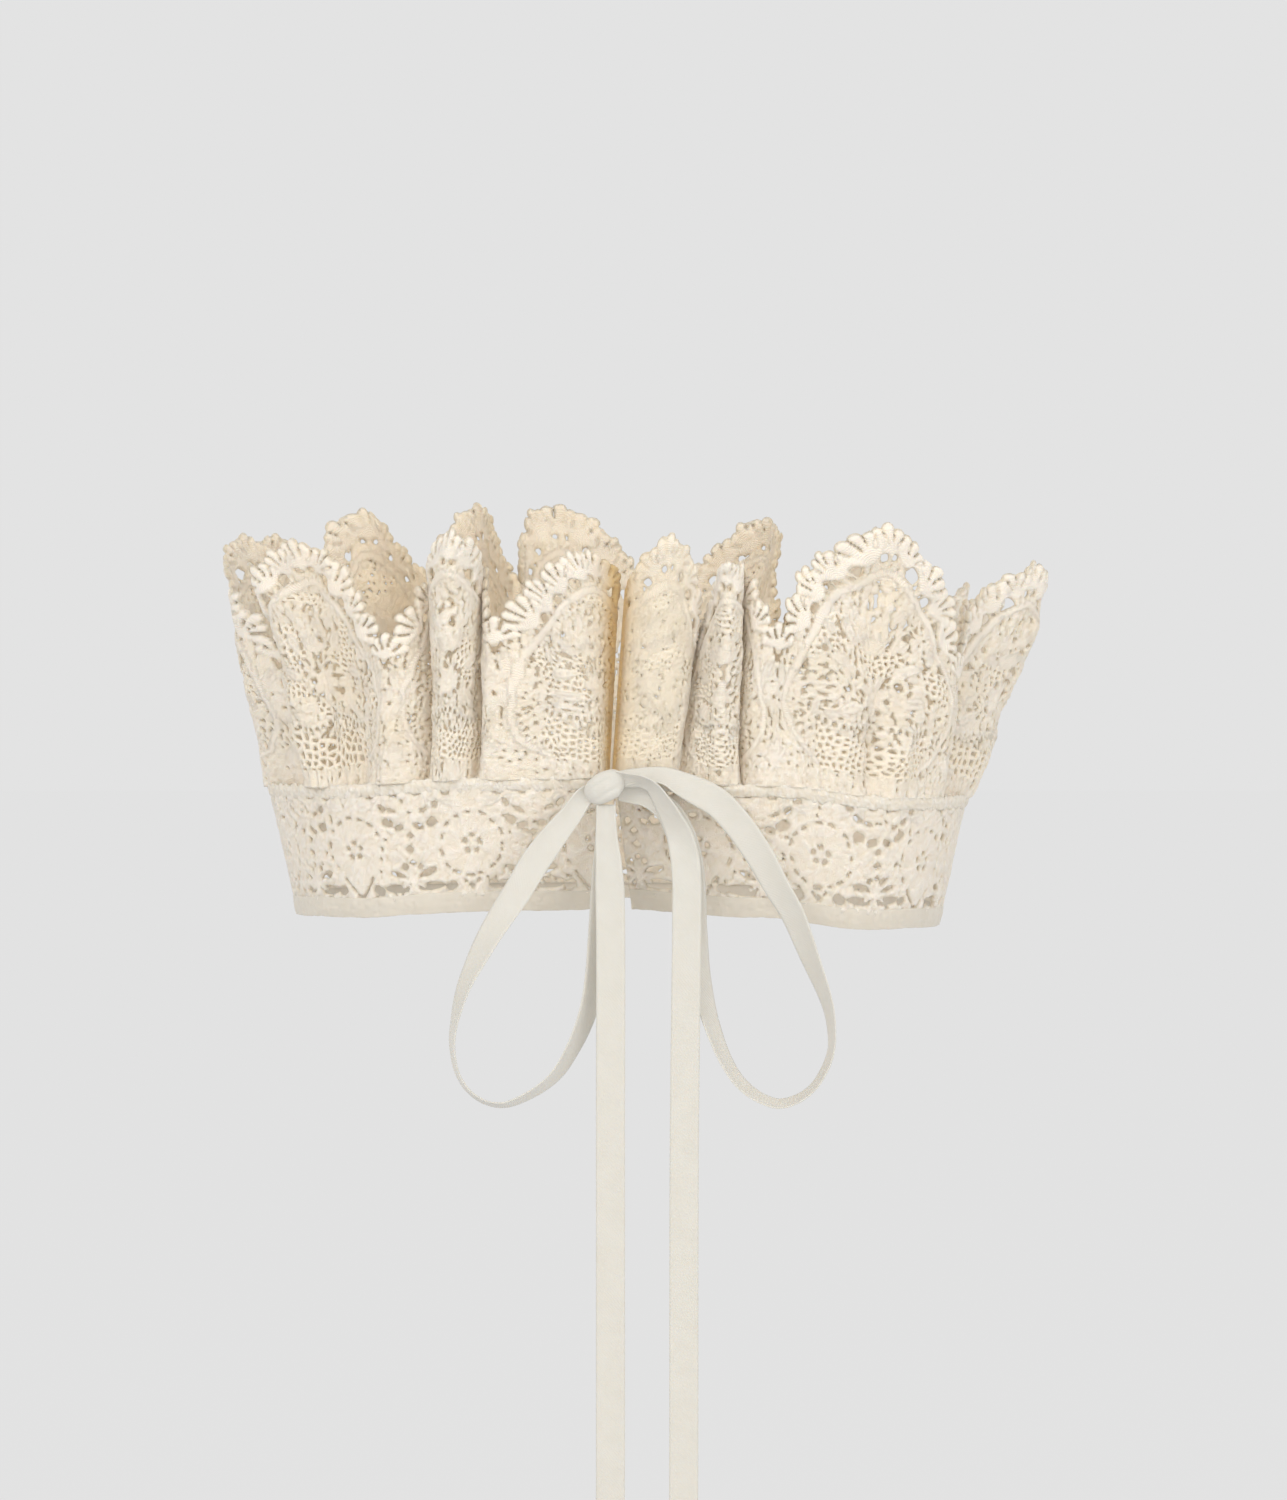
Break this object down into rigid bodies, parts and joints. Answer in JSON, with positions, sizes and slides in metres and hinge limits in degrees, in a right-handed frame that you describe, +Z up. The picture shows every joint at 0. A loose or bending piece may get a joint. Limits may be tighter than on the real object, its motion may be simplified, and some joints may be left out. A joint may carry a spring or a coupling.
{
  "type": "lace collar",
  "caption": "Standing neck collar of cotton guipure lace: a tapering lace band, a scalloped ruffle laid in folds, and a narrow ribbon bow at the open front.",
  "frame": {"origin": "middle of the neck ring at the level of the hem", "axes": "+Z up, the wearer faces -Y, +X to the wearer's left hand as seen from the front on the right"},
  "size_m": [0.1756, 0.1384, 0.2544],
  "materials": {
    "lace": "matt cream cotton guipure lace",
    "tape": "matt cream cotton tape",
    "ribbon": "soft ivory cotton satin ribbon"
  },
  "bodies": {
    "root": {"lace_band_left": "lace", "lace_band_right": "lace", "hem_tape_left": "tape", "hem_tape_right": "tape", "seam_cord_left": "tape", "seam_cord_right": "tape", "ruffle_left": "lace", "ruffle_right": "lace", "ribbon_tie": "ribbon", "ribbon_knot": "ribbon", "ribbon_loop_left": "ribbon", "ribbon_loop_right": "ribbon", "ribbon_tail_left": "ribbon", "ribbon_tail_right": "ribbon"}
  },
  "joints": []
}
